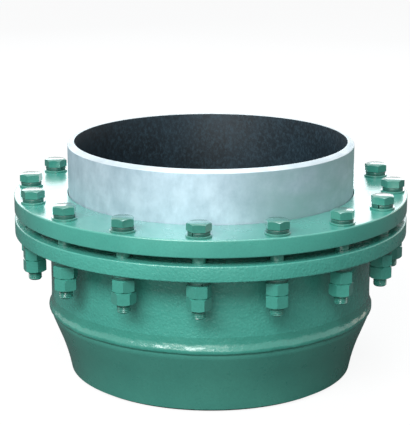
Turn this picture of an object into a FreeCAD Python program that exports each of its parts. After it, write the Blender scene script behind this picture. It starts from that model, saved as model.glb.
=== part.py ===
"""Rotary expansion joint for a 426 mm steel pipeline.

A short pipe turns inside a fixed seat, so that two of these joints and an offset arm let a long
pipeline grow and shrink with heat. The seat is a forged ring with a flange and a stuffing box. A
gland flange, drawn down by sixteen bolts, squeezes packing rings onto the pipe. A collar on the
pipe runs on steel balls under the seat's inner ledge, which holds the pipe in against the
pressure. A reducer is welded under the seat and brings it back to the pipeline's diameter.

Frame: millimetres, +Z up along the axis of rotation, origin at the centre of the reducer's lower
end, on which the joint stands.
"""

import math
import os

import FreeCAD
import Part
import Sketcher

# The driving dimensions, in millimetres and degrees, each one cell of the sheet with this alias.
SIZES = {
    "pipe_dia": 426.0,
    "pipe_wall": 10.0,
    "pipe_top": 350.0,
    "bevel_land": 2.0,
    "bevel_angle": 30.0,
    "pipe_foot_gap": 0.5,
    "collar_reach": 14.5,
    "collar_thick": 16.0,
    "collar_weld_leg": 4.5,
    "seat_wall": 14.0,
    "seat_foot": 107.5,
    "chamber_wall": 12.0,
    "ledge_thick": 15.0,
    "packing_width": 14.0,
    "flange_reach": 52.0,
    "flange_thick": 22.5,
    "flange_top": 238.0,
    "flange_fillet": 6.0,
    "edge_round": 2.0,
    "flange_gap": 11.0,
    "gland_thick": 25.0,
    "gland_depth": 22.0,
    "nose_gap": 0.3,
    "bore_gap": 1.0,
    "bush_wall": 4.7,
    "bush_length": 45.0,
    "running_gap": 0.3,
    "base_ring_thick": 4.0,
    "packing_count": 5,
    "ball_dia": 12.0,
    "ball_count": 48,
    "groove_depth": 2.0,
    "cage_thick": 4.0,
    "cage_gap": 0.7,
    "pocket_gap": 0.2,
    "seal_thick": 7.7,
    "seal_width": 9.0,
    "support_thick": 12.0,
    "support_setback": 4.0,
    "mouth_wall": 14.0,
    "mouth_step": 2.0,
    "reducer_bend": 250.0,
    "reducer_bend_high": 38.0,
    "reducer_flare": 7.0,
    "reducer_shoulder": 16.0,
    "reducer_shoulder_high": 90.5,
    "reducer_bore_taper": 20.2,
    "reducer_bore_high": 25.0,
    "reducer_bore_bend": 20.0,
    "groove_angle": 38.0,
    "weld_root": 2.0,
    "weld_above": 13.5,
    "weld_below": 12.0,
    "weld_crest_drop": 3.5,
    "weld_peak": 4.8,
    "weld_round": 10.0,
    "bolt_count": 16,
    "bolt_inset": 21.5,
    "bolt_dia": 20.0,
    "bolt_length": 122.0,
    "bolt_point": 2.0,
    "bolt_hole": 22.0,
    "hex_flats": 30.0,
    "head_high": 12.0,
    "nut_high": 18.0,
    "washer_dia": 36.0,
    "washer_bore": 21.0,
    "washer_thick": 3.0,
    "spring_dia": 31.0,
    "spring_thick": 4.5,
    "spring_slit": 2.5,
}

# How far each fastener's flats stopped from facing straight outwards, in degrees, by bolt.
HEAD_TURNS = [28, 48, 12, 33, 50, 22, 39, 54, 52, 8, 16, 58, 4, 19, 33, 29]
NUT_TURNS = [8, 35, 22, 47, 5, 51, 16, 40, 27, 58, 4, 57, 14, 12, 44, 27]
LOCK_NUT_TURNS = [31, 12, 49, 3, 38, 26, 55, 18, 44, 2, 19, 27, 59, 12, 24, 27]
SLIT_TURNS = [200, 75, 140, 20, 310, 95, 250, 160, 35, 285, 120, 220, 330, 60, 180, 270]

doc = FreeCAD.newDocument("rotary_expansion_joint")
sheet = doc.addObject("Spreadsheet::Sheet", "Sizes")
for row, (alias, number) in enumerate(SIZES.items(), start=1):
    sheet.set(f"A{row}", alias)
    sheet.set(f"B{row}", str(number))
    sheet.setAlias(f"B{row}", alias)
doc.recompute()


class Size:
    """A length worked out from the sheet: its formula, for setExpression, and its present value."""

    def __init__(self, text, value):
        self.text = text
        self.value = float(value)

    @staticmethod
    def of(other):
        return other if isinstance(other, Size) else Size(str(other), other)

    def join(self, sign, other, value):
        return Size(f"({self.text} {sign} {Size.of(other).text})", value)

    def __add__(self, other):
        return self.join("+", other, self.value + Size.of(other).value)

    def __sub__(self, other):
        return self.join("-", other, self.value - Size.of(other).value)

    def __mul__(self, other):
        return self.join("*", other, self.value * Size.of(other).value)

    def __truediv__(self, other):
        return self.join("/", other, self.value / Size.of(other).value)

    def tangent(self):
        return Size(f"tan({self.text} * 1deg)", math.tan(math.radians(self.value)))


def cell(alias):
    return Size(f"Sizes.{alias}", getattr(sheet, alias))


ZERO = Size("0", 0)
ROOT_3 = Size("sqrt(3)", math.sqrt(3))

# Radii and heights that several pieces share.
pipe_r = cell("pipe_dia") / 2
pipe_bore_r = pipe_r - cell("pipe_wall")
pipe_top = cell("pipe_top")
bevel_high = (cell("pipe_wall") - cell("bevel_land")) * cell("bevel_angle").tangent()
box_r = pipe_r + cell("packing_width")
seat_r = box_r + cell("seat_wall")
seat_foot = cell("seat_foot")
chamber_r = seat_r - cell("chamber_wall")
flange_r = seat_r + cell("flange_reach")
bolt_circle_r = flange_r - cell("bolt_inset")
flange_top = cell("flange_top")
flange_under = flange_top - cell("flange_thick")
gland_under = flange_top + cell("flange_gap")
gland_top = gland_under + cell("gland_thick")
nose_foot = flange_top - cell("gland_depth")
bore_r = pipe_r + cell("bore_gap")
collar_r = pipe_r + cell("collar_reach")
collar_under = seat_foot + cell("seal_thick") + cell("running_gap")
collar_top = collar_under + cell("collar_thick")
ball_r = cell("ball_dia") / 2
ball_z = collar_top - cell("groove_depth") + ball_r + cell("running_gap")
ledge_under = ball_z + ball_r + cell("running_gap") - cell("groove_depth")
ledge_top = ledge_under + cell("ledge_thick")
race_r = (pipe_r + chamber_r) / 2
groove_r = ball_r + cell("running_gap")
packing_foot = ledge_top + cell("base_ring_thick")
weld_root_r = chamber_r + cell("weld_root")
weld_half = (seat_r - weld_root_r) * cell("groove_angle").tangent()
mouth_r = seat_r - cell("mouth_wall")
support_foot = seat_foot - cell("support_thick")
washer_top = gland_top + cell("washer_thick")
head_under = washer_top + cell("spring_thick")
head_top = head_under + cell("head_high")
lower_washer_foot = flange_under - cell("washer_thick")
nut_top = lower_washer_foot - cell("spring_thick")
lock_top = nut_top - cell("nut_high")


def plane(body, role):
    """One of a body's own origin planes or axes, found by its role."""
    return next(f for f in body.Origin.OriginFeatures if f.Role == role)


def new_body(label):
    body = doc.addObject("PartDesign::Body", "Body_" + label)
    body.Label = label
    return body


def new_sketch(body, role):
    sketch = body.newObject("Sketcher::SketchObject", "Sketch")
    sketch.AttachmentSupport = [(plane(body, role), "")]
    sketch.MapMode = "FlatFace"
    return sketch


def hold(sketch, constraint, length):
    """Adds a constraint and binds its value to the sheet."""
    sketch.setExpression(f"Constraints[{sketch.addConstraint(constraint)}]", length.text)


def place_point(sketch, geometry, end, across, up):
    """Holds one point of the sketch at a signed distance across and up from the origin."""
    for kind, axis, length in (("DistanceX", -2, across), ("DistanceY", -1, up)):
        if abs(length.value) < 1e-9:
            sketch.addConstraint(Sketcher.Constraint("PointOnObject", geometry, end, axis))
        elif length.value > 0:
            hold(sketch, Sketcher.Constraint(kind, -1, 1, geometry, end, length.value), length)
        else:
            away = ZERO - length
            hold(sketch, Sketcher.Constraint(kind, geometry, end, -1, 1, away.value), away)


def draw_outline(sketch, corners):
    """Draws a closed outline. A corner is (across, up), or (across, up, round) where it is rounded."""
    spots = [FreeCAD.Vector(c[0].value, c[1].value, 0) for c in corners]
    starts, ends, arcs = list(spots), list(spots), {}
    for i, corner in enumerate(corners):
        if len(corner) < 3:
            continue
        into = (spots[i] - spots[i - 1]).normalize()
        out = (spots[(i + 1) % len(spots)] - spots[i]).normalize()
        turn = into.getAngle(out)
        radius = corner[2].value
        ends[i] = spots[i] - into * (radius * math.tan(turn / 2))
        starts[i] = spots[i] + out * (radius * math.tan(turn / 2))
        middle = spots[i] + (out - into).normalize() * (radius / math.cos(turn / 2) - radius)
        arcs[i] = Part.Arc(ends[i], middle, starts[i])
    count = len(corners)
    for i in range(count):
        sketch.addGeometry(Part.LineSegment(starts[i], ends[(i + 1) % count]))
    for i, corner in enumerate(corners):
        before, after = (i - 1) % count, i
        if i not in arcs:
            sketch.addConstraint(Sketcher.Constraint("Coincident", before, 2, after, 1))
            place_point(sketch, after, 1, corner[0], corner[1])
            continue
        arc = sketch.addGeometry(arcs[i])
        first = (sketch.getPoint(arc, 1) - ends[i]).Length < 1e-6
        near, far = (1, 2) if first else (2, 1)
        sketch.addConstraint(Sketcher.Constraint("Tangent", before, 2, arc, near))
        sketch.addConstraint(Sketcher.Constraint("Tangent", arc, far, after, 1))
        hold(sketch, Sketcher.Constraint("Radius", arc, corner[2].value), corner[2])
        tip = sketch.addGeometry(Part.Point(spots[i]), True)
        sketch.addConstraint(Sketcher.Constraint("PointOnObject", tip, 1, before))
        sketch.addConstraint(Sketcher.Constraint("PointOnObject", tip, 1, after))
        place_point(sketch, tip, 1, corner[0], corner[1])


def draw_circle(sketch, across, up, radius):
    circle = Part.Circle(
        FreeCAD.Vector(across.value, up.value, 0), FreeCAD.Vector(0, 0, 1), radius.value
    )
    ring = sketch.addGeometry(circle)
    place_point(sketch, ring, 3, across, up)
    hold(sketch, Sketcher.Constraint("Radius", ring, radius.value), radius)


def turn_about_z(body, kind, sketch):
    """Turns a sketch of the XZ plane once round the axis: kind is Revolution to add, Groove to cut."""
    feature = body.newObject("PartDesign::" + kind, kind)
    feature.Profile = sketch
    feature.ReferenceAxis = (sketch, ["V_Axis"])
    feature.Angle = 360
    sketch.Visibility = False
    doc.recompute()
    return feature


def turned(label, corners):
    """A body turned from one outline of radius and height."""
    body = new_body(label)
    sketch = new_sketch(body, "XZ_Plane")
    draw_outline(sketch, corners)
    turn_about_z(body, "Revolution", sketch)
    return body


def square_ring(label, inner, outer, foot, top):
    return turned(label, [(inner, foot), (outer, foot), (outer, top), (inner, top)])


def cut_ball_groove(body):
    """The race that the balls run in: a round groove about the balls' own circle."""
    sketch = new_sketch(body, "XZ_Plane")
    draw_circle(sketch, race_r, ball_z, groove_r)
    turn_about_z(body, "Groove", sketch)


def drill_ring(body, circle_r, hole_r, count_alias):
    """Holes right through, parallel to Z and evenly spaced on one circle from +X round."""
    sketch = new_sketch(body, "XY_Plane")
    draw_circle(sketch, circle_r, ZERO, hole_r)
    hole = body.newObject("PartDesign::Pocket", "Hole")
    hole.Profile = sketch
    hole.Type = "ThroughAll"
    hole.Midplane = True
    sketch.Visibility = False
    doc.recompute()
    pattern = body.newObject("PartDesign::PolarPattern", "Holes")
    pattern.Originals = [hole]
    pattern.Axis = (plane(body, "Z_Axis"), [""])
    pattern.Angle = 360
    pattern.setExpression("Occurrences", f"Sizes.{count_alias}")
    body.Tip = pattern
    doc.recompute()


def make_rotating_pipe():
    """A length of pipe with its upper end bevelled for welding. Its foot hangs just over the support ring."""
    foot = seat_foot + cell("pipe_foot_gap")
    return turned("rotating_pipe", [
        (pipe_bore_r, foot),
        (pipe_r, foot),
        (pipe_r, pipe_top - bevel_high),
        (pipe_bore_r + cell("bevel_land"), pipe_top),
        (pipe_bore_r, pipe_top),
    ])


def make_thrust_collar():
    """The ring that the balls bear on, with the lower half of their race in its top."""
    body = square_ring("thrust_collar", pipe_r, collar_r, collar_under, collar_top)
    cut_ball_groove(body)
    return body


def make_collar_weld():
    """The fillet weld that fixes the collar to the pipe, under the collar."""
    leg = cell("collar_weld_leg")
    return turned("collar_weld", [
        (pipe_r, collar_under),
        (pipe_r, collar_under - leg),
        (pipe_r + leg, collar_under),
    ])


def make_seat():
    """The forged seat: a flange, the stuffing box, the ledge over the balls and the ball chamber."""
    body = turned("seat_body", [
        (weld_root_r, seat_foot),
        (seat_r, seat_foot + weld_half),
        (seat_r, flange_under, cell("flange_fillet")),
        (flange_r, flange_under, cell("edge_round")),
        (flange_r, flange_top, cell("edge_round")),
        (box_r, flange_top),
        (box_r, ledge_top),
        (bore_r, ledge_top),
        (bore_r, ledge_under),
        (chamber_r, ledge_under),
        (chamber_r, seat_foot),
    ])
    cut_ball_groove(body)
    drill_ring(body, bolt_circle_r, cell("bolt_hole") / 2, "bolt_count")
    return body


def make_weld_seam():
    """The butt weld round the joint of seat and reducer: it fills the groove and crowns over its edges."""
    crest_z = seat_foot - cell("weld_crest_drop")
    return turned("weld_seam", [
        (weld_root_r, seat_foot),
        (seat_r, seat_foot - weld_half),
        (seat_r, seat_foot - cell("weld_below")),
        (seat_r + cell("weld_peak"), crest_z, cell("weld_round")),
        (seat_r, seat_foot + cell("weld_above")),
        (seat_r, seat_foot + weld_half),
    ])


def make_reducer():
    """The concentric reducer: a wide mouth under the seat, a hollow flare, and a foot bevelled for welding."""
    slope = cell("reducer_bore_taper").tangent()
    bore_top = cell("reducer_bore_high")
    throat_r = mouth_r - cell("mouth_step")
    return turned("reducer", [
        (pipe_bore_r, ZERO),
        (pipe_bore_r + cell("bevel_land"), ZERO),
        (pipe_r, bevel_high),
        (pipe_r + cell("reducer_flare"), cell("reducer_bend_high"), cell("reducer_bend")),
        (seat_r, cell("reducer_shoulder_high"), cell("reducer_shoulder")),
        (seat_r, seat_foot - weld_half),
        (weld_root_r, seat_foot),
        (mouth_r, seat_foot),
        (mouth_r, support_foot),
        (throat_r, support_foot),
        (throat_r, bore_top + (throat_r - pipe_bore_r) / slope),
        (pipe_bore_r, bore_top, cell("reducer_bore_bend")),
    ])


def make_support_ring():
    """A loose ring dropped on the step in the reducer's mouth, which carries the end seal."""
    outer = mouth_r - cell("pocket_gap")
    inner = pipe_bore_r + cell("support_setback")
    return square_ring("support_ring", inner, outer, support_foot, seat_foot)


def make_end_seal():
    """The graphite ring between the support ring and the turning collar."""
    outer = chamber_r - cell("running_gap")
    top = seat_foot + cell("seal_thick")
    return square_ring("end_seal_ring", outer - cell("seal_width"), outer, seat_foot, top)


def make_gland():
    """The gland: a drilled flange with a nose that presses the packing, bored for the bush."""
    recess_r = pipe_r + cell("running_gap") + cell("bush_wall")
    bush_top = nose_foot + cell("bush_length")
    nose_r = box_r - cell("nose_gap")
    body = turned("gland_flange", [
        (recess_r, nose_foot),
        (nose_r, nose_foot),
        (nose_r, gland_under),
        (flange_r, gland_under, cell("edge_round")),
        (flange_r, gland_top, cell("edge_round")),
        (bore_r, gland_top),
        (bore_r, bush_top),
        (recess_r, bush_top),
    ])
    drill_ring(body, bolt_circle_r, cell("bolt_hole") / 2, "bolt_count")
    return body


def make_bush():
    """The bronze bush in the gland that keeps the pipe central."""
    inner = pipe_r + cell("running_gap")
    top = nose_foot + cell("bush_length")
    return square_ring("centring_bush", inner, inner + cell("bush_wall"), nose_foot, top)


def make_packing():
    """The steel base ring on the ledge and the packing rings stacked from it up to the gland's nose."""
    inner = pipe_r + cell("running_gap")
    outer = box_r - cell("pocket_gap")
    square_ring("packing_base_ring", inner, outer, ledge_top, packing_foot)
    count = round(cell("packing_count").value)
    for i in range(count):
        share = (nose_foot - packing_foot) / cell("packing_count")
        foot = packing_foot + share * i
        square_ring(f"packing_ring_{i + 1}", inner, outer, foot, foot + share)


def make_ball_cage():
    """The flat cage that spaces the balls, drilled with one pocket for each."""
    half = cell("cage_thick") / 2
    gap = cell("cage_gap")
    body = square_ring("ball_cage", pipe_r + gap, chamber_r - gap, ball_z - half, ball_z + half)
    drill_ring(body, race_r, ball_r + cell("pocket_gap"), "ball_count")
    return body


def hexagon(body, foot, height):
    """Pads a hexagon with one flat facing +X."""
    sketch = new_sketch(body, "XY_Plane")
    sketch.setExpression("AttachmentOffset.Base.z", foot.text)
    half = cell("hex_flats") / 2
    near, far = half / ROOT_3, cell("hex_flats") / ROOT_3
    draw_outline(sketch, [
        (half, near),
        (ZERO, far),
        (ZERO - half, near),
        (ZERO - half, ZERO - near),
        (ZERO, ZERO - far),
        (half, ZERO - near),
    ])
    pad = body.newObject("PartDesign::Pad", "Hexagon")
    pad.Profile = sketch
    pad.setExpression("Length", height.text)
    sketch.Visibility = False
    doc.recompute()


def bevel_corners(body, face, inwards):
    """Turns the hexagon's corners off at a face. inwards is 1 where the metal lies above the face, else -1."""
    inner = cell("hex_flats") / 2 * 0.96
    outer = cell("hex_flats") / ROOT_3 + 1
    drop = (outer - inner) * cell("bevel_angle").tangent() * inwards
    sketch = new_sketch(body, "XZ_Plane")
    draw_outline(sketch, [(inner, face), (outer, face), (outer, face + drop)])
    turn_about_z(body, "Groove", sketch)


def make_bolt_pattern_piece():
    """One hexagon bolt on the Z axis, at its height in the joint."""
    body = new_body("one_bolt")
    hexagon(body, head_under, cell("head_high"))
    bevel_corners(body, head_top, -1)
    shank_r = cell("bolt_dia") / 2
    tip = head_under - cell("bolt_length")
    point = cell("bolt_point")
    sketch = new_sketch(body, "XZ_Plane")
    draw_outline(sketch, [
        (ZERO, tip),
        (shank_r - point, tip),
        (shank_r, tip + point),
        (shank_r, head_under),
        (ZERO, head_under),
    ])
    turn_about_z(body, "Revolution", sketch)
    return body


def make_nut_piece(label, top):
    """One hexagon nut on the Z axis, bevelled at both faces and bored to the bolt's own diameter."""
    body = new_body(label)
    foot = top - cell("nut_high")
    hexagon(body, foot, cell("nut_high"))
    bevel_corners(body, top, -1)
    bevel_corners(body, foot, 1)
    sketch = new_sketch(body, "XY_Plane")
    draw_circle(sketch, ZERO, ZERO, cell("bolt_dia") / 2)
    bore = body.newObject("PartDesign::Pocket", "Bore")
    bore.Profile = sketch
    bore.Type = "ThroughAll"
    bore.Midplane = True
    sketch.Visibility = False
    doc.recompute()
    return body


def make_washer_piece(label, foot):
    inner, outer = cell("washer_bore") / 2, cell("washer_dia") / 2
    return square_ring(label, inner, outer, foot, foot + cell("washer_thick"))


def make_spring_washer_piece(label, foot):
    """One split spring washer, pressed flat, with its slit facing +X."""
    inner, outer = cell("washer_bore") / 2, cell("spring_dia") / 2
    body = square_ring(label, inner, outer, foot, foot + cell("spring_thick"))
    half = cell("spring_slit") / 2
    sketch = new_sketch(body, "XY_Plane")
    draw_outline(sketch, [
        (ZERO, ZERO - half),
        (outer + 1, ZERO - half),
        (outer + 1, half),
        (ZERO, half),
    ])
    slit = body.newObject("PartDesign::Pocket", "Slit")
    slit.Profile = sketch
    slit.Type = "ThroughAll"
    slit.Midplane = True
    sketch.Visibility = False
    doc.recompute()
    return body


def set_round(label, piece, circle_r, count, turns):
    """A group of like pieces, one at each place on a circle, each turned about its own axis."""
    up = FreeCAD.Vector(0, 0, 1)
    origin = FreeCAD.Vector(0, 0, 0)
    copies = []
    for i in range(count):
        copy = piece.Shape.copy()
        copy.rotate(origin, up, turns[i % len(turns)])
        copy.translate(FreeCAD.Vector(circle_r, 0, 0))
        copy.rotate(origin, up, i * 360.0 / count)
        copies += copy.Solids
    group = doc.addObject("Part::Feature", "Group_" + label)
    group.Label = label
    group.Shape = Part.makeCompound(copies)
    return group


def make_balls():
    """The steel balls, in line with the cage's pockets."""
    centre = FreeCAD.Vector(0, 0, ball_z.value)
    ball = doc.addObject("Part::Feature", "OneBall")
    ball.Shape = Part.makeSphere(ball_r.value, centre)
    set_round("thrust_balls", ball, race_r.value, round(cell("ball_count").value), [0])


def make_fasteners():
    """The bolts, the nuts and lock nuts under the seat's flange, and a flat and a spring washer under each."""
    count = round(cell("bolt_count").value)
    circle_r = bolt_circle_r.value
    for label, piece, turns in (
        ("gland_bolts", make_bolt_pattern_piece(), HEAD_TURNS),
        ("upper_washers", make_washer_piece("one_upper_washer", gland_top), [0]),
        ("upper_spring_washers", make_spring_washer_piece("one_upper_spring", washer_top), SLIT_TURNS),
        ("lower_washers", make_washer_piece("one_lower_washer", lower_washer_foot), [0]),
        ("lower_spring_washers", make_spring_washer_piece("one_lower_spring", nut_top), SLIT_TURNS[::-1]),
        ("gland_nuts", make_nut_piece("one_nut", nut_top), NUT_TURNS),
        ("lock_nuts", make_nut_piece("one_lock_nut", lock_top), LOCK_NUT_TURNS),
    ):
        set_round(label, piece, circle_r, count, turns)


make_rotating_pipe()
make_thrust_collar()
make_collar_weld()
make_seat()
make_weld_seam()
make_reducer()
make_support_ring()
make_end_seal()
make_gland()
make_bush()
make_packing()
make_ball_cage()
make_balls()
make_fasteners()
doc.recompute()

for thing in doc.Objects:
    if "Invalid" in thing.State or "Error" in thing.State:
        raise RuntimeError(f"{thing.Label} did not compute: {thing.State}")

os.makedirs("parts", exist_ok=True)
for thing in doc.Objects:
    whole = thing.TypeId in ("PartDesign::Body", "Part::Feature")
    if not whole or thing.Label.startswith("one_") or thing.Name == "OneBall":
        continue
    shape = thing.Shape
    if shape.isNull() or not shape.isValid():
        raise RuntimeError(f"{thing.Label} has no valid shape")
    shape.exportStep(os.path.join("parts", thing.Label + ".step"))
    print(thing.Label, "solids", len(shape.Solids), "volume", round(shape.Volume))
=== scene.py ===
"""A rotary expansion joint: green enamelled seat, gland and reducer, and a bright pipe that turns in them."""

import math

import bmesh
import bpy
from mathutils import Matrix, Vector, noise


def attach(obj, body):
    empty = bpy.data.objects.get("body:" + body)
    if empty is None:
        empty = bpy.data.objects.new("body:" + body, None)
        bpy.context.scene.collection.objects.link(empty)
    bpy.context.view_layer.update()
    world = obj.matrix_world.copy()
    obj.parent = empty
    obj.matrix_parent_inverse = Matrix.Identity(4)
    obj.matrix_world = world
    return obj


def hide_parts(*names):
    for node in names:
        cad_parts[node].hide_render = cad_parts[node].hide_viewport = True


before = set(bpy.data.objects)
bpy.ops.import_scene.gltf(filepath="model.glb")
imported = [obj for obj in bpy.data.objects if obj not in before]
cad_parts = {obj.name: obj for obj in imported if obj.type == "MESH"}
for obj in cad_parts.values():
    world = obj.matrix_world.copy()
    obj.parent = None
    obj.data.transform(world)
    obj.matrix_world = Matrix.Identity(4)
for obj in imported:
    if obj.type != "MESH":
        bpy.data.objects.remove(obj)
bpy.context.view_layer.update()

# Seat
# The fixed half: a forged ring with a flange and a stuffing box, turned inside and left with its forged
# skin outside. It is sprayed with thick green enamel, which dries with an orange-peel surface.

# Lengths are in millimetres, which MM turns into metres. Two that differ by less than NEAR are equal.
MM = 0.001
NEAR = 0.01
SEAT_STEPS = 576
SEAT_ROWS = 44
SEAT_RADIUS = 241
SEAT_FOOT = 107.5
CHAMBER_RADIUS = 229
WELD_ROOT = 231
GROOVE_TOP = 115.3
FLANGE_RADIUS = 293
FLANGE_UNDER = 215.5
FLANGE_TOP = 238
FLANGE_FILLET = 6
RIM_ROUND = 2
BAND_INNER = 250
BAND_OUTER = 285
BOX_RADIUS = 227
BOX_FLOOR = 155.1
LEDGE_RADIUS = 214
LEDGE_UNDER = 140.1
BALL_CIRCLE = 221
RACE_HALF = 4.6
RACE_TOP = 145.02
RACE_ROUND = 6.3
BOLT_COUNT = 16
BOLT_CIRCLE = 271.5
HOLE_RADIUS = 11
HOLE_SIDES = 32
SHARP_ANGLE = math.radians(32)
COARSE_DEPTH = 0.16
COARSE_PER_METRE = 110
FINE_DEPTH = 0.1
FINE_PER_METRE = 230
GREEN = ("#439A8B", "#4DA696", "#388073")
SEAT_CORNERS = [
    (WELD_ROOT, SEAT_FOOT),
    (SEAT_RADIUS, GROOVE_TOP),
    (SEAT_RADIUS, FLANGE_UNDER, FLANGE_FILLET),
    (BAND_INNER, FLANGE_UNDER),
    (BAND_OUTER, FLANGE_UNDER),
    (FLANGE_RADIUS, FLANGE_UNDER, RIM_ROUND),
    (FLANGE_RADIUS, FLANGE_TOP, RIM_ROUND),
    (BAND_OUTER, FLANGE_TOP),
    (BAND_INNER, FLANGE_TOP),
    (BOX_RADIUS, FLANGE_TOP, 0.6),
    (BOX_RADIUS, BOX_FLOOR),
    (LEDGE_RADIUS, BOX_FLOOR),
    (LEDGE_RADIUS, LEDGE_UNDER),
    (BALL_CIRCLE - RACE_HALF, LEDGE_UNDER),
    (BALL_CIRCLE, RACE_TOP, RACE_ROUND),
    (BALL_CIRCLE + RACE_HALF, LEDGE_UNDER),
    (CHAMBER_RADIUS, LEDGE_UNDER),
    (CHAMBER_RADIUS, SEAT_FOOT),
]


def linear_colour(text):
    """Turns an sRGB hex colour into the linear RGBA that the shaders take."""
    parts = [int(text[i:i + 2], 16) / 255 for i in (1, 3, 5)]
    return [c / 12.92 if c <= 0.04045 else ((c + 0.055) / 1.055) ** 2.4 for c in parts] + [1.0]


def add_node(tree, kind, settings, inputs):
    """Adds a node, sets its settings, and gives each input a value or a link."""
    node = tree.nodes.new(kind)
    for name, value in settings.items():
        setattr(node, name, value)
    for name, value in inputs.items():
        if isinstance(value, bpy.types.NodeSocket):
            tree.links.new(value, node.inputs[name])
        else:
            node.inputs[name].default_value = value
    return node


def mix_colours(tree, factor, first, second):
    """Goes from the first colour to the second, each hex text or a socket, as the factor goes from 0 to 1."""
    ends = [linear_colour(end) if isinstance(end, str) else end for end in (first, second)]
    mix = add_node(tree, "ShaderNodeMix", {"data_type": "RGBA"}, {0: factor, 6: ends[0], 7: ends[1]})
    return mix.outputs[2]


def spread(tree, value, low, high, floor=0, ceiling=1):
    """Stretches the part of a pattern between low and high over the range from floor to ceiling."""
    inputs = {"Value": value, "From Min": low, "From Max": high, "To Min": floor, "To Max": ceiling}
    return add_node(tree, "ShaderNodeMapRange", {}, inputs).outputs["Result"]


def new_material(name):
    """A material with an empty node tree and the Object coordinates of the piece it is on."""
    material = bpy.data.materials.new(name)
    material.use_nodes = True
    tree = material.node_tree
    tree.nodes.clear()
    place = add_node(tree, "ShaderNodeTexCoord", {}, {}).outputs["Object"]
    return material, tree, place


def close_material(tree, shader):
    add_node(tree, "ShaderNodeOutputMaterial", {}, {"Surface": shader.outputs["BSDF"]})


def noise_at(tree, place, per_metre, detail, roughness=0.5, share=(1, 1, 1)):
    """A noise pattern with so many features to a metre. A share under 1 draws them out along that axis."""
    spot = add_node(tree, "ShaderNodeMapping", {}, {"Vector": place, "Scale": share}).outputs["Vector"]
    inputs = {"Vector": spot, "Scale": per_metre, "Detail": detail, "Roughness": roughness}
    return add_node(tree, "ShaderNodeTexNoise", {}, inputs).outputs["Fac"]


def bump(tree, height, depth, strength=1.0):
    """The normals of a surface that a pattern raises by up to depth, in millimetres."""
    inputs = {"Height": height, "Distance": depth * MM, "Strength": strength}
    return add_node(tree, "ShaderNodeBump", {}, inputs).outputs["Normal"]


def enamel(name, shades, peel_depth, peel_per_metre, roughness, coat=0.4, coat_roughness=0.08):
    """Sprayed alkyd enamel. Its film is thick, so highlights are broad and broken by orange peel."""
    material, tree, place = new_material(name)
    clouds = spread(tree, noise_at(tree, place, per_metre=14, detail=4), 0.3, 0.7)
    specks = spread(tree, noise_at(tree, place, per_metre=420, detail=3, roughness=0.6), 0.35, 0.7, 0, 0.35)
    body = mix_colours(tree, clouds, shades[0], shades[1])
    colour = mix_colours(tree, specks, body, shades[2])
    peel = noise_at(tree, place, peel_per_metre, detail=3, roughness=0.55)
    skin = bump(tree, peel, peel_depth)
    shine = noise_at(tree, place, per_metre=40, detail=5)
    shader = add_node(tree, "ShaderNodeBsdfPrincipled", {}, {
        "Base Color": colour,
        "Roughness": spread(tree, shine, 0.3, 0.7, roughness - 0.05, roughness + 0.06),
        "Normal": skin,
        "IOR": 1.5,
        "Coat Weight": coat,
        "Coat Roughness": coat_roughness,
    })
    close_material(tree, shader)
    return material


def profile(corners, arc_parts=6):
    """A bmesh of a closed outline in the XZ plane, of corners (radius, height) or (radius, height, round)."""
    bm = bmesh.new()
    verts = [bm.verts.new((corner[0] * MM, 0, corner[1] * MM)) for corner in corners]
    bm.faces.new(verts)
    spots = [vert.co.copy() for vert in verts]
    for i, corner in enumerate(corners):
        if len(corner) < 3:
            continue
        turn = (spots[i] - spots[i - 1]).angle(spots[(i + 1) % len(spots)] - spots[i])
        reach = corner[2] * MM * math.tan(turn / 2)
        bmesh.ops.bevel(bm, geom=[verts[i]], offset=reach, offset_type="OFFSET", segments=arc_parts,
                        profile=0.5, affect="VERTICES", material=-1)
    bmesh.ops.delete(bm, geom=bm.faces[:], context="FACES_ONLY")
    return bm


def divide_rise(bm, radius, low, high, cuts):
    """Divides the outline's upright edge at one radius, between two heights."""
    found = []
    for edge in bm.edges:
        at_radius = all(abs(vert.co.x / MM - radius) < NEAR for vert in edge.verts)
        inside = all(low - NEAR <= vert.co.z / MM <= high + NEAR for vert in edge.verts)
        if at_radius and inside:
            found.append(edge)
    bmesh.ops.subdivide_edges(bm, edges=found, cuts=cuts)


def turn_round(bm, steps):
    """Turns the outline once round the Z axis into a closed solid."""
    geometry = bm.verts[:] + bm.edges[:]
    bmesh.ops.spin(bm, geom=geometry, cent=(0, 0, 0), axis=(0, 0, 1), angle=math.tau, steps=steps,
                   use_merge=True)
    bmesh.ops.remove_doubles(bm, verts=bm.verts[:], dist=0.001 * MM)


def make_mesh(bm, name):
    """Turns a bmesh into a mesh and lets the bmesh go."""
    mesh = bpy.data.meshes.new(name)
    bm.to_mesh(mesh)
    bm.free()
    return mesh


def add_object(name, data):
    """Puts a mesh, a lamp or a camera into the scene."""
    thing = bpy.data.objects.new(name, data)
    bpy.context.collection.objects.link(thing)
    return thing


def face_spot(face):
    """The radius and the height of a face's middle, in millimetres."""
    middle = face.calc_center_median()
    return math.hypot(middle.x, middle.y) / MM, middle.z / MM


def around(index):
    """The turn about the Z axis that brings a piece from +X to its place in the ring of bolts."""
    return Matrix.Rotation(math.tau * index / BOLT_COUNT, 4, "Z")


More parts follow.
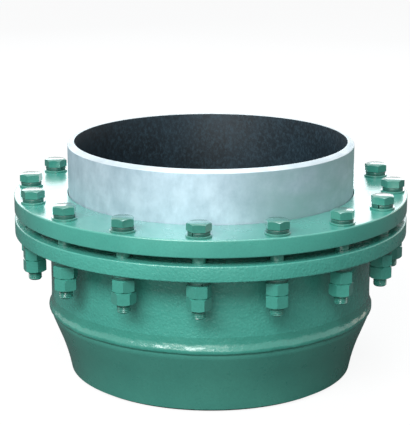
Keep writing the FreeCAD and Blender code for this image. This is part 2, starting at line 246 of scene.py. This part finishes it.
def drill_flange(bm, under, top):
    """Replaces the flat bands on both sides of a flange by bands with bolt holes, and lines the holes."""
    bands = []
    for face in bm.faces:
        radius, height = face_spot(face)
        flat = min(abs(height - under), abs(height - top)) < NEAR
        if flat and BAND_INNER < radius < BAND_OUTER:
            bands.append(face)
    bmesh.ops.delete(bm, geom=bands, context="FACES")
    rims = {}
    for height in (under, top):
        rims[height] = []
        for i in range(BOLT_COUNT):
            spot = around(i) @ Matrix.Translation((BOLT_CIRCLE * MM, 0, height * MM))
            made = bmesh.ops.create_circle(bm, segments=HOLE_SIDES, radius=HOLE_RADIUS * MM, matrix=spot)
            rims[height].append(list({edge for vert in made["verts"] for edge in vert.link_edges}))
    for height in (under, top):
        border = [edge for rim in rims[height] for edge in rim]
        for edge in bm.edges:
            if edge.is_boundary and all(abs(vert.co.z / MM - height) < NEAR for vert in edge.verts):
                border.append(edge)
        bmesh.ops.triangle_fill(bm, use_beauty=True, edges=border, normal=(0, 0, 1))
    for i in range(BOLT_COUNT):
        bmesh.ops.bridge_loops(bm, edges=rims[under][i] + rims[top][i])


def finish_piece(bm, name, materials, body, nodes):
    """Closes a bmesh into an object that rides on a body and stands for CAD nodes."""
    bmesh.ops.recalc_face_normals(bm, faces=bm.faces[:])
    for face in bm.faces:
        face.smooth = True
    for edge in bm.edges:
        edge.smooth = edge.calc_face_angle(0) < SHARP_ANGLE
    mesh = make_mesh(bm, name)
    for material in materials:
        mesh.materials.append(material)
    piece = add_object(name, mesh)
    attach(piece, body)
    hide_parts(*nodes)


seat = profile(SEAT_CORNERS)
divide_rise(seat, SEAT_RADIUS, GROOVE_TOP, FLANGE_UNDER, SEAT_ROWS)
turn_round(seat, SEAT_STEPS)
drill_flange(seat, FLANGE_UNDER, FLANGE_TOP)
for vert in seat.verts:
    out = Vector((vert.co.x, vert.co.y, 0))
    on_wall = out.length / MM > SEAT_RADIUS - 1
    if on_wall and GROOVE_TOP + 1 < vert.co.z / MM < FLANGE_UNDER - FLANGE_FILLET:
        coarse = COARSE_DEPTH * noise.noise(vert.co * COARSE_PER_METRE)
        fine = FINE_DEPTH * noise.noise(vert.co * FINE_PER_METRE)
        vert.co += out.normalized() * (coarse + fine) * MM
seat_enamel = enamel("forged_steel_green_enamel", GREEN, peel_depth=1.0, peel_per_metre=270, roughness=0.26)
finish_piece(seat, "seat_forging", [seat_enamel], "seat", ["seat_body"])

# Weld seam
# A multi-pass butt weld that joins the reducer to the seat. It was dressed by hand and painted over, so its
# crown wavers a little and keeps faint ripples.

WELD_STEPS = 720
WELD_ROWS = 5
WELD_FOOT = 95.5
WELD_CREST = 102
WELD_TOP = 121
WELD_LOWER = (244.6, 98, 3)
WELD_CROWN = (245.3, WELD_CREST, 7)
WELD_UPPER = (241.8, 109.8, 14)
GROOVE_FOOT = 99.7
RIPPLE_DEPTH = 0.05
RIPPLE_LENGTH = 3.2
RIPPLE_BOW = 0.5
RIPPLE_REACH = 3
WAVER_DEPTH = 0.6
WAVER_PER_METRE = 45
WAVER_PER_METRE_UP = 90
LUMP_DEPTH = 0.3
LUMPS_PER_METRE = 130
WANDER_RISE = 1.1
WANDER_PER_METRE = 22
WANDER_LEVEL = 7
FULL_PROUD = 1.5
# Painted shade: the bead's green is darker than the seat's, in place of the shade on its flanks.
WELD_PAINTED_SHADE_GREEN = ("#3A8C7D", "#449787", "#307366")
WELD_CORNERS = [
    (WELD_ROOT, SEAT_FOOT),
    (SEAT_RADIUS, GROOVE_FOOT),
    (SEAT_RADIUS, WELD_FOOT),
    WELD_LOWER,
    WELD_CROWN,
    WELD_UPPER,
    (SEAT_RADIUS, WELD_TOP),
    (SEAT_RADIUS, GROOVE_TOP),
]
weld = profile(WELD_CORNERS, 8)
slopes = [edge for edge in weld.edges if max(vert.co.x for vert in edge.verts) > (SEAT_RADIUS + 1) * MM]
long_slopes = [edge for edge in slopes if edge.calc_length() > 3 * MM]
bmesh.ops.subdivide_edges(weld, edges=long_slopes, cuts=WELD_ROWS)
turn_round(weld, WELD_STEPS)
for vert in weld.verts:
    out = Vector((vert.co.x, vert.co.y, 0))
    proud = out.length / MM - SEAT_RADIUS
    if proud > 2 * NEAR:
        along = math.atan2(vert.co.y, vert.co.x) * SEAT_RADIUS
        bow = RIPPLE_BOW * (vert.co.z / MM - WELD_CREST) ** 2 / RIPPLE_REACH ** 2
        ripple = RIPPLE_DEPTH * math.sin(along / RIPPLE_LENGTH + bow)
        waver_spot = Vector((
            vert.co.x * WAVER_PER_METRE,
            vert.co.y * WAVER_PER_METRE,
            vert.co.z * WAVER_PER_METRE_UP,
        ))
        waver = WAVER_DEPTH * noise.noise(waver_spot)
        lumps = LUMP_DEPTH * noise.noise(vert.co * LUMPS_PER_METRE)
        share = min(1, proud / FULL_PROUD)
        vert.co += out.normalized() * (ripple + waver + lumps) * share * MM
        wander_spot = Vector((
            vert.co.x * WANDER_PER_METRE,
            vert.co.y * WANDER_PER_METRE,
            WANDER_LEVEL,
        ))
        vert.co.z += WANDER_RISE * noise.noise(wander_spot) * MM
weld_enamel = enamel("weld_bead_green_enamel", WELD_PAINTED_SHADE_GREEN, peel_depth=0.62, peel_per_metre=290,
                     roughness=0.15, coat=0.45)
finish_piece(weld, "seat_weld_bead", [weld_enamel], "seat", ["weld_seam"])

# Reducer
# A pressed steel reducer that brings the seat down to the pipeline's diameter. Its drawn surface is smoother
# than the forging's, so the same enamel lies flatter on it. Its lower end is bevelled for welding.

ROUND_STEPS = 540
LINE_RADIUS = 213
LINE_BORE = 203
LINE_LAND = 205
LINE_BEVEL = 4.62
FLARE_BEND = (220, 38, 250)
SHOULDER_BEND = (SEAT_RADIUS, 90.5, 16)
MOUTH_RADIUS = 227
MOUTH_STEP = 95.5
THROAT_RADIUS = 225
THROAT_FOOT = 84.8
BORE_BEND = (LINE_BORE, 25, 20)
# The reducer's green is darker than the seat's: partly its own tone, partly painted shade for its
# downward-facing cone.
REDUCER_TONE_AND_PAINTED_SHADE = ("#3F877A", "#489283", "#346F63")
REDUCER_CORNERS = [
    (LINE_BORE, 0),
    (LINE_LAND, 0),
    (LINE_RADIUS, LINE_BEVEL),
    FLARE_BEND,
    SHOULDER_BEND,
    (SEAT_RADIUS, GROOVE_FOOT),
    (WELD_ROOT, SEAT_FOOT),
    (MOUTH_RADIUS, SEAT_FOOT),
    (MOUTH_RADIUS, MOUTH_STEP),
    (THROAT_RADIUS, MOUTH_STEP),
    (THROAT_RADIUS, THROAT_FOOT),
    BORE_BEND,
]
reducer = profile(REDUCER_CORNERS, 12)
turn_round(reducer, ROUND_STEPS)
reducer_enamel = enamel("pressed_steel_green_enamel", REDUCER_TONE_AND_PAINTED_SHADE, peel_depth=0.05, peel_per_metre=200,
                        roughness=0.3)
finish_piece(reducer, "pressed_reducer", [reducer_enamel], "seat", ["reducer"])

# Support ring, end seal and thrust parts
# The parts sealed inside: turned steel rings, hardened balls in a bronze cage, a bronze bush and rings of
# pressed graphite. They keep their CAD shapes, and each has its own material's finish.


def bare_metal(name, dark, light, roughness, metallic, scratches_per_metre):
    """Machined metal: fine rings left by the lathe, seen as bands of slightly different shine."""
    material, tree, place = new_material(name)
    rings = noise_at(tree, place, scratches_per_metre, detail=2, share=(0.02, 0.02, 1))
    stains = spread(tree, noise_at(tree, place, per_metre=30, detail=5), 0.3, 0.7)
    shader = add_node(tree, "ShaderNodeBsdfPrincipled", {}, {
        "Base Color": mix_colours(tree, stains, dark, light),
        "Roughness": spread(tree, rings, 0.3, 0.7, roughness - 0.06, roughness + 0.08),
        "Metallic": metallic,
        "Normal": bump(tree, rings, 0.02, 0.6),
    })
    close_material(tree, shader)
    return material


def dress(nodes, material):
    """Gives CAD nodes that keep their shape a better material."""
    for node in nodes:
        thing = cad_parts[node]
        thing.data.materials.clear()
        thing.data.materials.append(material)


LATHE_MARKS = 900
GRINDING_MARKS = 1500
PRESS_MARKS = 500
turned_steel = bare_metal("turned_carbon_steel", "#6E7073", "#94979A", 0.34, 1.0, LATHE_MARKS)
ground_steel = bare_metal("ground_bearing_steel", "#B9BDC2", "#D2D5D8", 0.12, 1.0, GRINDING_MARKS)
bronze = bare_metal("cast_bronze", "#9A7640", "#BE9A5C", 0.3, 1.0, LATHE_MARKS)
graphite = bare_metal("pressed_graphite", "#1B1C1E", "#2C2E31", 0.55, 0.0, PRESS_MARKS)
dress(["support_ring", "thrust_collar", "collar_weld", "packing_base_ring"], turned_steel)
dress(["thrust_balls"], ground_steel)
dress(["ball_cage", "centring_bush"], bronze)
dress(["end_seal_ring"] + [f"packing_ring_{i}" for i in range(1, 6)], graphite)

# Turning pipe
# Thick-walled steel pipe, turned and bright-plated outside so that the packing can seal on it. Its welding
# bevel is freshly ground, and the bore keeps the dark blue-grey scale of the rolling mill.

PIPE_FOOT = 108
PIPE_TOP = 350
BEVEL_FOOT = 345.8
PIPE_CORNERS = [
    (LINE_BORE, PIPE_FOOT),
    (LINE_RADIUS, PIPE_FOOT),
    (LINE_RADIUS, BEVEL_FOOT, 1.2),
    (LINE_LAND, PIPE_TOP, 0.8),
    (LINE_BORE, PIPE_TOP, 0.4),
]


def bright_plate():
    """Nickel plate on a turned surface: cloudy, with faint rings, and with painted shade in patches on its +X
    side.
    """
    material, tree, place = new_material("bright_plated_steel")
    clouds = noise_at(tree, place, per_metre=18, detail=5, roughness=0.6)
    rings = noise_at(tree, place, per_metre=700, detail=3, roughness=0.6, share=(0.012, 0.012, 1))
    wipes = noise_at(tree, place, per_metre=62, detail=5, roughness=0.7, share=(1, 1, 0.6))
    shade_patches = noise_at(tree, place, per_metre=9, detail=6, roughness=0.6, share=(1, 1, 2))
    shine = noise_at(tree, place, per_metre=60, detail=6, roughness=0.65)
    bright = mix_colours(tree, spread(tree, clouds, 0.3, 0.7), "#9DB4BF", "#C0D4DE")
    plate = mix_colours(tree, spread(tree, wipes, 0.42, 0.72, 0, 0.4), bright, "#87A0AD")
    # Painted shade: patches on the +X side are mixed toward a darker grey-green, in place of the shade on
    # that side.
    across = add_node(tree, "ShaderNodeSeparateXYZ", {}, {"Vector": place}).outputs["X"]
    right_side_painted_shade = add_node(tree, "ShaderNodeMath", {"operation": "MULTIPLY"}, {
        0: spread(tree, across, 0.03, 0.12),
        1: spread(tree, shade_patches, 0.36, 0.6, 0.25, 1),
    }).outputs[0]
    shader = add_node(tree, "ShaderNodeBsdfPrincipled", {}, {
        "Base Color": mix_colours(tree, right_side_painted_shade, plate, "#8FB0B2"),
        "Roughness": spread(tree, shine, 0.3, 0.7, 0.54, 0.66),
        "Metallic": 0.6,
        "Normal": bump(tree, rings, 0.03, 0.5),
    })
    close_material(tree, shader)
    return material


def mill_scale():
    """Rolled pipe bore: blue-black iron oxide with lighter dusty flecks, matt to satin."""
    material, tree, place = new_material("mill_scale_steel")
    dust = noise_at(tree, place, per_metre=230, detail=8, roughness=0.75, share=(1, 1, 0.7))
    flecks = spread(tree, dust, 0.46, 0.76, 0, 0.7)
    drifts = noise_at(tree, place, per_metre=16, detail=5, roughness=0.6)
    base = mix_colours(tree, spread(tree, drifts, 0.35, 0.68), "#0F191F", "#1A2932")
    grit = noise_at(tree, place, per_metre=240, detail=6, roughness=0.7)
    shader = add_node(tree, "ShaderNodeBsdfPrincipled", {}, {
        "Base Color": mix_colours(tree, flecks, base, "#37505D"),
        "Roughness": spread(tree, flecks, 0, 1, 0.42, 0.7),
        "Metallic": 0.1,
        "Specular IOR Level": 0.38,
        "Normal": bump(tree, grit, 0.25, 0.8),
    })
    close_material(tree, shader)
    return material


pipe_materials = [
    bright_plate(),
    mill_scale(),
    bare_metal("ground_weld_bevel_steel", "#B9C6CC", "#D2DCE0", 0.5, 0.5, LATHE_MARKS),
]
BORE_LOOK = 1
BEVEL_LOOK = 2
pipe = profile(PIPE_CORNERS, 3)
turn_round(pipe, ROUND_STEPS)
for face in pipe.faces:
    radius, height = face_spot(face)
    if radius < LINE_BORE + 2 * NEAR:
        face.material_index = BORE_LOOK
    elif radius < LINE_RADIUS - 0.2 and height > BEVEL_FOOT - 1:
        face.material_index = BEVEL_LOOK
finish_piece(pipe, "turning_pipe_tube", pipe_materials, "turning_pipe", ["rotating_pipe"])

# Gland flange
# A turned disc with a nose that presses the packing. It is drilled for sixteen bolts, its rims are rounded
# and it is sprayed with the same enamel, which lies smooth on the machined faces.

GLAND_UNDER = 249
GLAND_TOP = 274
GLAND_BORE = 214
NOSE_FOOT = 216
NOSE_RADIUS = 226.7
BUSH_RADIUS = 218
BUSH_TOP = 261
GLAND_CORNERS = [
    (BUSH_RADIUS, NOSE_FOOT),
    (NOSE_RADIUS, NOSE_FOOT),
    (NOSE_RADIUS, GLAND_UNDER),
    (BAND_INNER, GLAND_UNDER),
    (BAND_OUTER, GLAND_UNDER),
    (FLANGE_RADIUS, GLAND_UNDER, RIM_ROUND),
    (FLANGE_RADIUS, GLAND_TOP, RIM_ROUND),
    (BAND_OUTER, GLAND_TOP),
    (BAND_INNER, GLAND_TOP),
    (GLAND_BORE, GLAND_TOP, 0.8),
    (GLAND_BORE, BUSH_TOP),
    (BUSH_RADIUS, BUSH_TOP),
]
gland = profile(GLAND_CORNERS)
turn_round(gland, ROUND_STEPS)
drill_flange(gland, GLAND_UNDER, GLAND_TOP)
gland_enamel = enamel("turned_steel_green_enamel", GREEN, peel_depth=0.03, peel_per_metre=180,
                      roughness=0.3, coat=1.0, coat_roughness=0.23)
finish_piece(gland, "gland_disc", [gland_enamel], "seat", ["gland_flange"])

# Gland bolts
# Sixteen M20 hexagon bolts, painted after they were tightened. Each head stopped at an angle of its own, and
# below the lock nuts their threads show for five turns.

BOLT_RADIUS = 10
BOLT_TIP = 159.5
TIP_INSET = 3.2
TIP_CHAMFER = 2.2
THREAD_TOP = 177
THREAD_PITCH = 2.5
THREAD_DEPTH = 1.3
THREAD_ROW = 0.36
HEAD_UNDER = 281.5
HEAD_TOP = 293.5
HEX_HALF = 15
HEX_FACE = 0.95 * HEX_HALF
RING_PARTS = 48
HEX_BEVEL = math.tan(math.radians(30))
HEX_EDGE = 0.3
WASHER_FACE = 0.9 * HEX_HALF
WASHER_FACE_TOP = HEAD_UNDER + 0.7
HEAD_TURNS = [28, 48, 12, 33, 50, 22, 39, 54, 52, 8, 16, 58, 4, 19, 33, 29]
# Painted shade: the bolts' and plain washers' green is darker than the seat's, for the shade on the heads'
# sides.
FASTENER_PAINTED_SHADE_GREEN = ("#378173", "#408D7E", "#2D695E")


def hexagon_radius(angle):
    """The distance from the middle to a hexagon's side, with one flat facing angle zero."""
    return HEX_HALF / math.cos((angle + math.pi / 6) % (math.pi / 3) - math.pi / 6)


def set_ring(verts, shape):
    """Sets each corner of a ring by shape, which gives radius and height by angle."""
    for vert in verts:
        angle = math.atan2(vert.co.y, vert.co.x)
        radius, height = shape(angle)
        vert.co = Vector((radius * math.cos(angle), radius * math.sin(angle), height)) * MM


def draw_ring(bm, edges, shape):
    """Extrudes a ring of edges, sets the new corners by shape and returns the new edges."""
    made = bmesh.ops.extrude_edge_only(bm, edges=edges)["geom"]
    set_ring([item for item in made if isinstance(item, bmesh.types.BMVert)], shape)
    return [item for item in made if isinstance(item, bmesh.types.BMEdge)
            and all(vert in made for vert in item.verts)]


def plain_ring(radius, height):
    return lambda angle: (radius, height)


def hexagon_ring(face, side, inwards):
    """The wavy edge where a hexagon's side meets the cone turned off its corners, or so far down the side."""
    def shape(angle):
        radius = hexagon_radius(angle)
        return radius, face + inwards * (side + (radius - HEX_FACE) * HEX_BEVEL)
    return shape


def thread_ring(height):
    """A section through the thread: the tooth runs round as it climbs, and is turned off at the tip."""
    def shape(angle):
        phase = (height / THREAD_PITCH - angle / math.tau) % 1
        radius = BOLT_RADIUS - THREAD_DEPTH * abs(2 * phase - 1)
        return min(radius, BOLT_RADIUS - TIP_CHAMFER + (height - BOLT_TIP)), height
    return shape


def loft(shapes, closed):
    """A skin through a stack of rings. It is capped at both ends, or closed on itself as a nut is."""
    bm = bmesh.new()
    bmesh.ops.create_circle(bm, cap_ends=not closed, segments=RING_PARTS, radius=MM)
    set_ring(bm.verts[:], shapes[0])
    first = edges = bm.edges[:]
    for shape in shapes[1:]:
        edges = draw_ring(bm, edges, shape)
    if closed:
        bmesh.ops.bridge_loops(bm, edges=first + edges)
    else:
        bmesh.ops.holes_fill(bm, edges=edges, sides=0)
    return make_mesh(bm, "one_fastener")


def set_round(pattern, turns):
    """A bmesh with one copy of a fastener at each bolt hole, each turned about its own axis."""
    ring = bmesh.new()
    for i in range(BOLT_COUNT):
        done = len(ring.verts)
        ring.from_mesh(pattern)
        ring.verts.ensure_lookup_table()
        new = ring.verts[done:]
        own = Matrix.Rotation(math.radians(turns[i]), 4, "Z")
        spot = around(i) @ Matrix.Translation((BOLT_CIRCLE * MM, 0, 0)) @ own
        bmesh.ops.transform(ring, matrix=spot, verts=new)
    bpy.data.meshes.remove(pattern)
    return ring


thread_count = int((THREAD_TOP - BOLT_TIP) / THREAD_ROW)
bolt_rings = [plain_ring(BOLT_RADIUS - TIP_INSET, BOLT_TIP)]
bolt_rings += [thread_ring(BOLT_TIP + THREAD_ROW * row) for row in range(thread_count)]
bolt_rings += [
    plain_ring(BOLT_RADIUS, THREAD_TOP),
    plain_ring(BOLT_RADIUS, HEAD_UNDER),
    plain_ring(WASHER_FACE, HEAD_UNDER),
    plain_ring(WASHER_FACE, WASHER_FACE_TOP),
    lambda angle: (hexagon_radius(angle), WASHER_FACE_TOP),
    hexagon_ring(HEAD_TOP, HEX_EDGE, -1),
    hexagon_ring(HEAD_TOP, 0, -1),
    plain_ring(HEX_FACE, HEAD_TOP),
]
fastener_enamel = enamel("hexagon_steel_green_enamel", FASTENER_PAINTED_SHADE_GREEN, peel_depth=0.1, peel_per_metre=300,
                         roughness=0.2, coat=1.0, coat_roughness=0.15)
bolts = set_round(loft(bolt_rings, False), HEAD_TURNS)
finish_piece(bolts, "hexagon_bolts", [fastener_enamel], "seat", ["gland_bolts"])

# Washers
# Under each head a split spring washer, pressed flat, lies on a wider plain washer. The same two lie between
# the seat's flange and each nut. The spring washers are painted a much darker green: painted shade under
# heads and flange.

WASHER_BORE = 10.5
WASHER_RADIUS = 18
WASHER_THICK = 3
WASHER_BURR = 0.5
WASHER_EDGE = 0.6
SPRING_RADIUS = 15.5
SPRING_THICK = 4.5
SPRING_ROUND = 0.8
SPRING_STEPS = 40
SPRING_GAP = math.radians(7)
LOWER_PLAIN = FLANGE_UNDER - WASHER_THICK
NUT_TOP = LOWER_PLAIN - SPRING_THICK
NO_TURNS = [0] * BOLT_COUNT
SLIT_TURNS = [200, 75, 140, 20, 310, 95, 250, 160, 35, 285, 120, 220, 330, 60, 180, 270]
# Painted shade: the spring washers' green is much darker than the rest, for the shade under the heads and the
# flange.
SPRING_PAINTED_SHADE_GREEN = ("#27594F", "#2F6A5E", "#1E453E")


def plain_washer(foot):
    top = foot + WASHER_THICK
    return loft([
        plain_ring(WASHER_BORE, foot),
        plain_ring(WASHER_RADIUS - WASHER_BURR, foot),
        plain_ring(WASHER_RADIUS, foot + WASHER_BURR),
        plain_ring(WASHER_RADIUS, top - WASHER_EDGE),
        plain_ring(WASHER_RADIUS - WASHER_EDGE, top),
        plain_ring(WASHER_BORE, top),
    ], True)


def spring_washer(foot, top):
    """A square section swept nearly once round, with its two ends left a slit apart."""
    bm = bmesh.new()
    corners = [(WASHER_BORE, foot), (SPRING_RADIUS, foot), (SPRING_RADIUS, top), (WASHER_BORE, top)]
    verts = [bm.verts.new((radius * MM, 0, height * MM)) for radius, height in corners]
    bm.faces.new(verts)
    bmesh.ops.bevel(bm, geom=verts, offset=SPRING_ROUND * MM, offset_type="OFFSET", segments=2, profile=0.5,
                    affect="VERTICES", material=-1)
    start = bmesh.ops.duplicate(bm, geom=bm.faces[:])
    half_gap = Matrix.Rotation(SPRING_GAP / 2, 3, "Z")
    bmesh.ops.rotate(bm, verts=bm.verts[:], cent=(0, 0, 0), matrix=half_gap)
    swept = [item for item in start["geom"] if isinstance(item, bmesh.types.BMFace)]
    bmesh.ops.spin(bm, geom=swept, cent=(0, 0, 0), axis=(0, 0, 1), angle=math.tau - SPRING_GAP,
                   steps=SPRING_STEPS)
    bmesh.ops.remove_doubles(bm, verts=bm.verts[:], dist=NEAR * MM)
    return make_mesh(bm, "one_spring_washer")


plain_sets = [
    ("upper_plain_set", "upper_washers", GLAND_TOP),
    ("lower_plain_set", "lower_washers", LOWER_PLAIN),
]
for name, node, foot in plain_sets:
    washers = set_round(plain_washer(foot), NO_TURNS)
    finish_piece(washers, name, [fastener_enamel], "seat", [node])
split_sets = [
    ("upper_split_set", "upper_spring_washers", GLAND_TOP + WASHER_THICK, HEAD_UNDER, SLIT_TURNS),
    ("lower_split_set", "lower_spring_washers", NUT_TOP, LOWER_PLAIN, SLIT_TURNS[::-1]),
]
spring_painted_shade_enamel = enamel("spring_steel_painted_shade_enamel", SPRING_PAINTED_SHADE_GREEN, peel_depth=0.1, peel_per_metre=300,
                     roughness=0.3)
for name, node, foot, top, turns in split_sets:
    washers = set_round(spring_washer(foot, top), turns)
    finish_piece(washers, name, [spring_painted_shade_enamel], "seat", [node])

# Nuts
# Each bolt has a full nut and, tight against it, a lock nut of the same height. Both are chamfered at both
# ends, as the heads are at the top, and each stopped at an angle of its own.

NUT_HIGH = 18
NUT_BORE = BOLT_RADIUS + 0.05
NUT_CHAMFER = 0.9
NUT_TURNS = [8, 35, 22, 47, 5, 51, 16, 40, 27, 58, 4, 57, 14, 12, 44, 27]
LOCK_NUT_TURNS = [31, 12, 49, 3, 38, 26, 55, 18, 44, 2, 19, 27, 59, 12, 24, 27]
NUT_GREEN = ("#3F9182", "#489D8D", "#34796C")


def hexagon_nut(top):
    foot = top - NUT_HIGH
    return loft([
        plain_ring(NUT_BORE, foot + NUT_CHAMFER),
        plain_ring(BOLT_RADIUS + NUT_CHAMFER, foot),
        plain_ring(HEX_FACE, foot),
        hexagon_ring(foot, 0, 1),
        hexagon_ring(foot, HEX_EDGE, 1),
        hexagon_ring(top, HEX_EDGE, -1),
        hexagon_ring(top, 0, -1),
        plain_ring(HEX_FACE, top),
        plain_ring(BOLT_RADIUS + NUT_CHAMFER, top),
        plain_ring(NUT_BORE, top - NUT_CHAMFER),
    ], True)


nut_enamel = enamel("hexagon_nut_green_enamel", NUT_GREEN, peel_depth=0.25, peel_per_metre=320,
                    roughness=0.2, coat=0.6)
nuts = set_round(hexagon_nut(NUT_TOP), NUT_TURNS)
finish_piece(nuts, "full_nuts", [nut_enamel], "seat", ["gland_nuts"])
locks = set_round(hexagon_nut(NUT_TOP - NUT_HIGH), LOCK_NUT_TURNS)
finish_piece(locks, "locking_nuts", [nut_enamel], "seat", ["lock_nuts"])

# Floor, light and camera
# The floor looks white but throws little light up. A large soft lamp stands above and in front, a low one
# fills the shade, one hangs overhead, the gland's top mirrors two behind, and a warm one is on the right.

FLOOR_RADIUS = 9.0
FLOOR_SIDES = 64
FLOOR_GREY = "#5E5E5E"
FLOOR_GLOW = 0.9
WHITE = (1, 1, 1, 1)
floor_mesh = bmesh.new()
bmesh.ops.create_circle(floor_mesh, cap_ends=True, segments=FLOOR_SIDES, radius=FLOOR_RADIUS)
floor = add_object("studio_floor", make_mesh(floor_mesh, "studio_floor"))
paper, paper_tree, _ = new_material("white_paper_floor")
paper_rays = add_node(paper_tree, "ShaderNodeLightPath", {}, {})
paper_face = add_node(paper_tree, "ShaderNodeBsdfDiffuse", {}, {"Color": linear_colour(FLOOR_GREY)})
paper_strength = add_node(paper_tree, "ShaderNodeMath", {"operation": "MULTIPLY"}, {
    0: paper_rays.outputs["Is Camera Ray"],
    1: FLOOR_GLOW,
})
paper_glow = add_node(paper_tree, "ShaderNodeEmission", {}, {
    "Color": WHITE,
    "Strength": paper_strength.outputs[0],
})
paper_sum = add_node(paper_tree, "ShaderNodeAddShader", {}, {
    0: paper_face.outputs[0],
    1: paper_glow.outputs[0],
})
add_node(paper_tree, "ShaderNodeOutputMaterial", {}, {"Surface": paper_sum.outputs[0]})
floor.data.materials.append(paper)

AIM = Vector((0, 0, 0.2))
lamps = [
    ("key_lamp", (-1.0, -2.8, 2.5), 3.0, 1.2, 150, "#FCFEFF"),
    ("fill_lamp", (-0.3, -3.1, 0.95), 2.6, 0.6, 19, "#FFFDF8"),
    ("top_lamp", (0.2, 0.6, 3.4), 1.5, 1.5, 37, "#F0F9FF"),
    ("left_window_lamp", (-1.5, 3.2, 1.25), 2.4, 0.9, 17, "#F0F9FF"),
    ("right_window_lamp", (0.8, 3.2, 1.15), 1.3, 0.9, 9, "#F0F9FF"),
    ("warm_side_lamp", (1.7, 1.3, 0.4), 0.9, 0.6, 1.2, "#FFDDB8"),
]
for name, place, width, height, power, colour in lamps:
    lamp = bpy.data.lights.new(name, "AREA")
    lamp.shape = "RECTANGLE"
    lamp.size = width
    lamp.size_y = height
    lamp.energy = power
    lamp.color = linear_colour(colour)[:3]
    stand = add_object(name, lamp)
    stand.location = place
    stand.rotation_euler = (AIM - Vector(place)).to_track_quat("-Z", "Y").to_euler()

SKY_COLOUR = "#F0F6FA"
SKY_STRENGTH = 0.44
world = bpy.data.worlds.new("studio")
bpy.context.scene.world = world
world.use_nodes = True
world_tree = world.node_tree
world_tree.nodes.clear()
world_rays = add_node(world_tree, "ShaderNodeLightPath", {}, {})
seen = add_node(world_tree, "ShaderNodeMath", {"operation": "MAXIMUM"}, {
    0: world_rays.outputs["Is Camera Ray"],
    1: world_rays.outputs["Is Glossy Ray"],
})
ambient = add_node(world_tree, "ShaderNodeBackground", {}, {
    "Color": linear_colour(SKY_COLOUR),
    "Strength": SKY_STRENGTH,
})
white = add_node(world_tree, "ShaderNodeBackground", {}, {"Color": WHITE, "Strength": 1.0})
sky = add_node(world_tree, "ShaderNodeMixShader", {}, {
    0: seen.outputs[0],
    1: ambient.outputs[0],
    2: white.outputs[0],
})
add_node(world_tree, "ShaderNodeOutputWorld", {}, {"Surface": sky.outputs[0]})

CAMERA_AWAY = 2.2
CAMERA_HIGH = 0.8023
CAMERA_TURN = math.radians(3.3)
CAMERA_PITCH = math.radians(14.414)
CAMERA_ROLL = math.radians(0.12)
CAMERA_LENS = 127.63
CAMERA_SENSOR = 36
CAMERA_SHIFT = -0.0135
look = Vector((
    -math.sin(CAMERA_TURN) * math.cos(CAMERA_PITCH),
    math.cos(CAMERA_TURN) * math.cos(CAMERA_PITCH),
    -math.sin(CAMERA_PITCH),
))
level = Vector((math.cos(CAMERA_TURN), math.sin(CAMERA_TURN), 0))
side = level * math.cos(CAMERA_ROLL) + level.cross(look) * math.sin(CAMERA_ROLL)
upright = side.cross(look)
spot = (math.sin(CAMERA_TURN) * CAMERA_AWAY, -math.cos(CAMERA_TURN) * CAMERA_AWAY, CAMERA_HIGH)
lens = bpy.data.cameras.new("photo_camera")
lens.lens = CAMERA_LENS
lens.sensor_width = CAMERA_SENSOR
lens.shift_x = CAMERA_SHIFT
camera = add_object("photo_camera", lens)
camera.matrix_world = Matrix.Translation(spot) @ Matrix((side, upright, -look)).transposed().to_4x4()
bpy.context.scene.camera = camera
bpy.context.scene.view_settings.view_transform = "Standard"
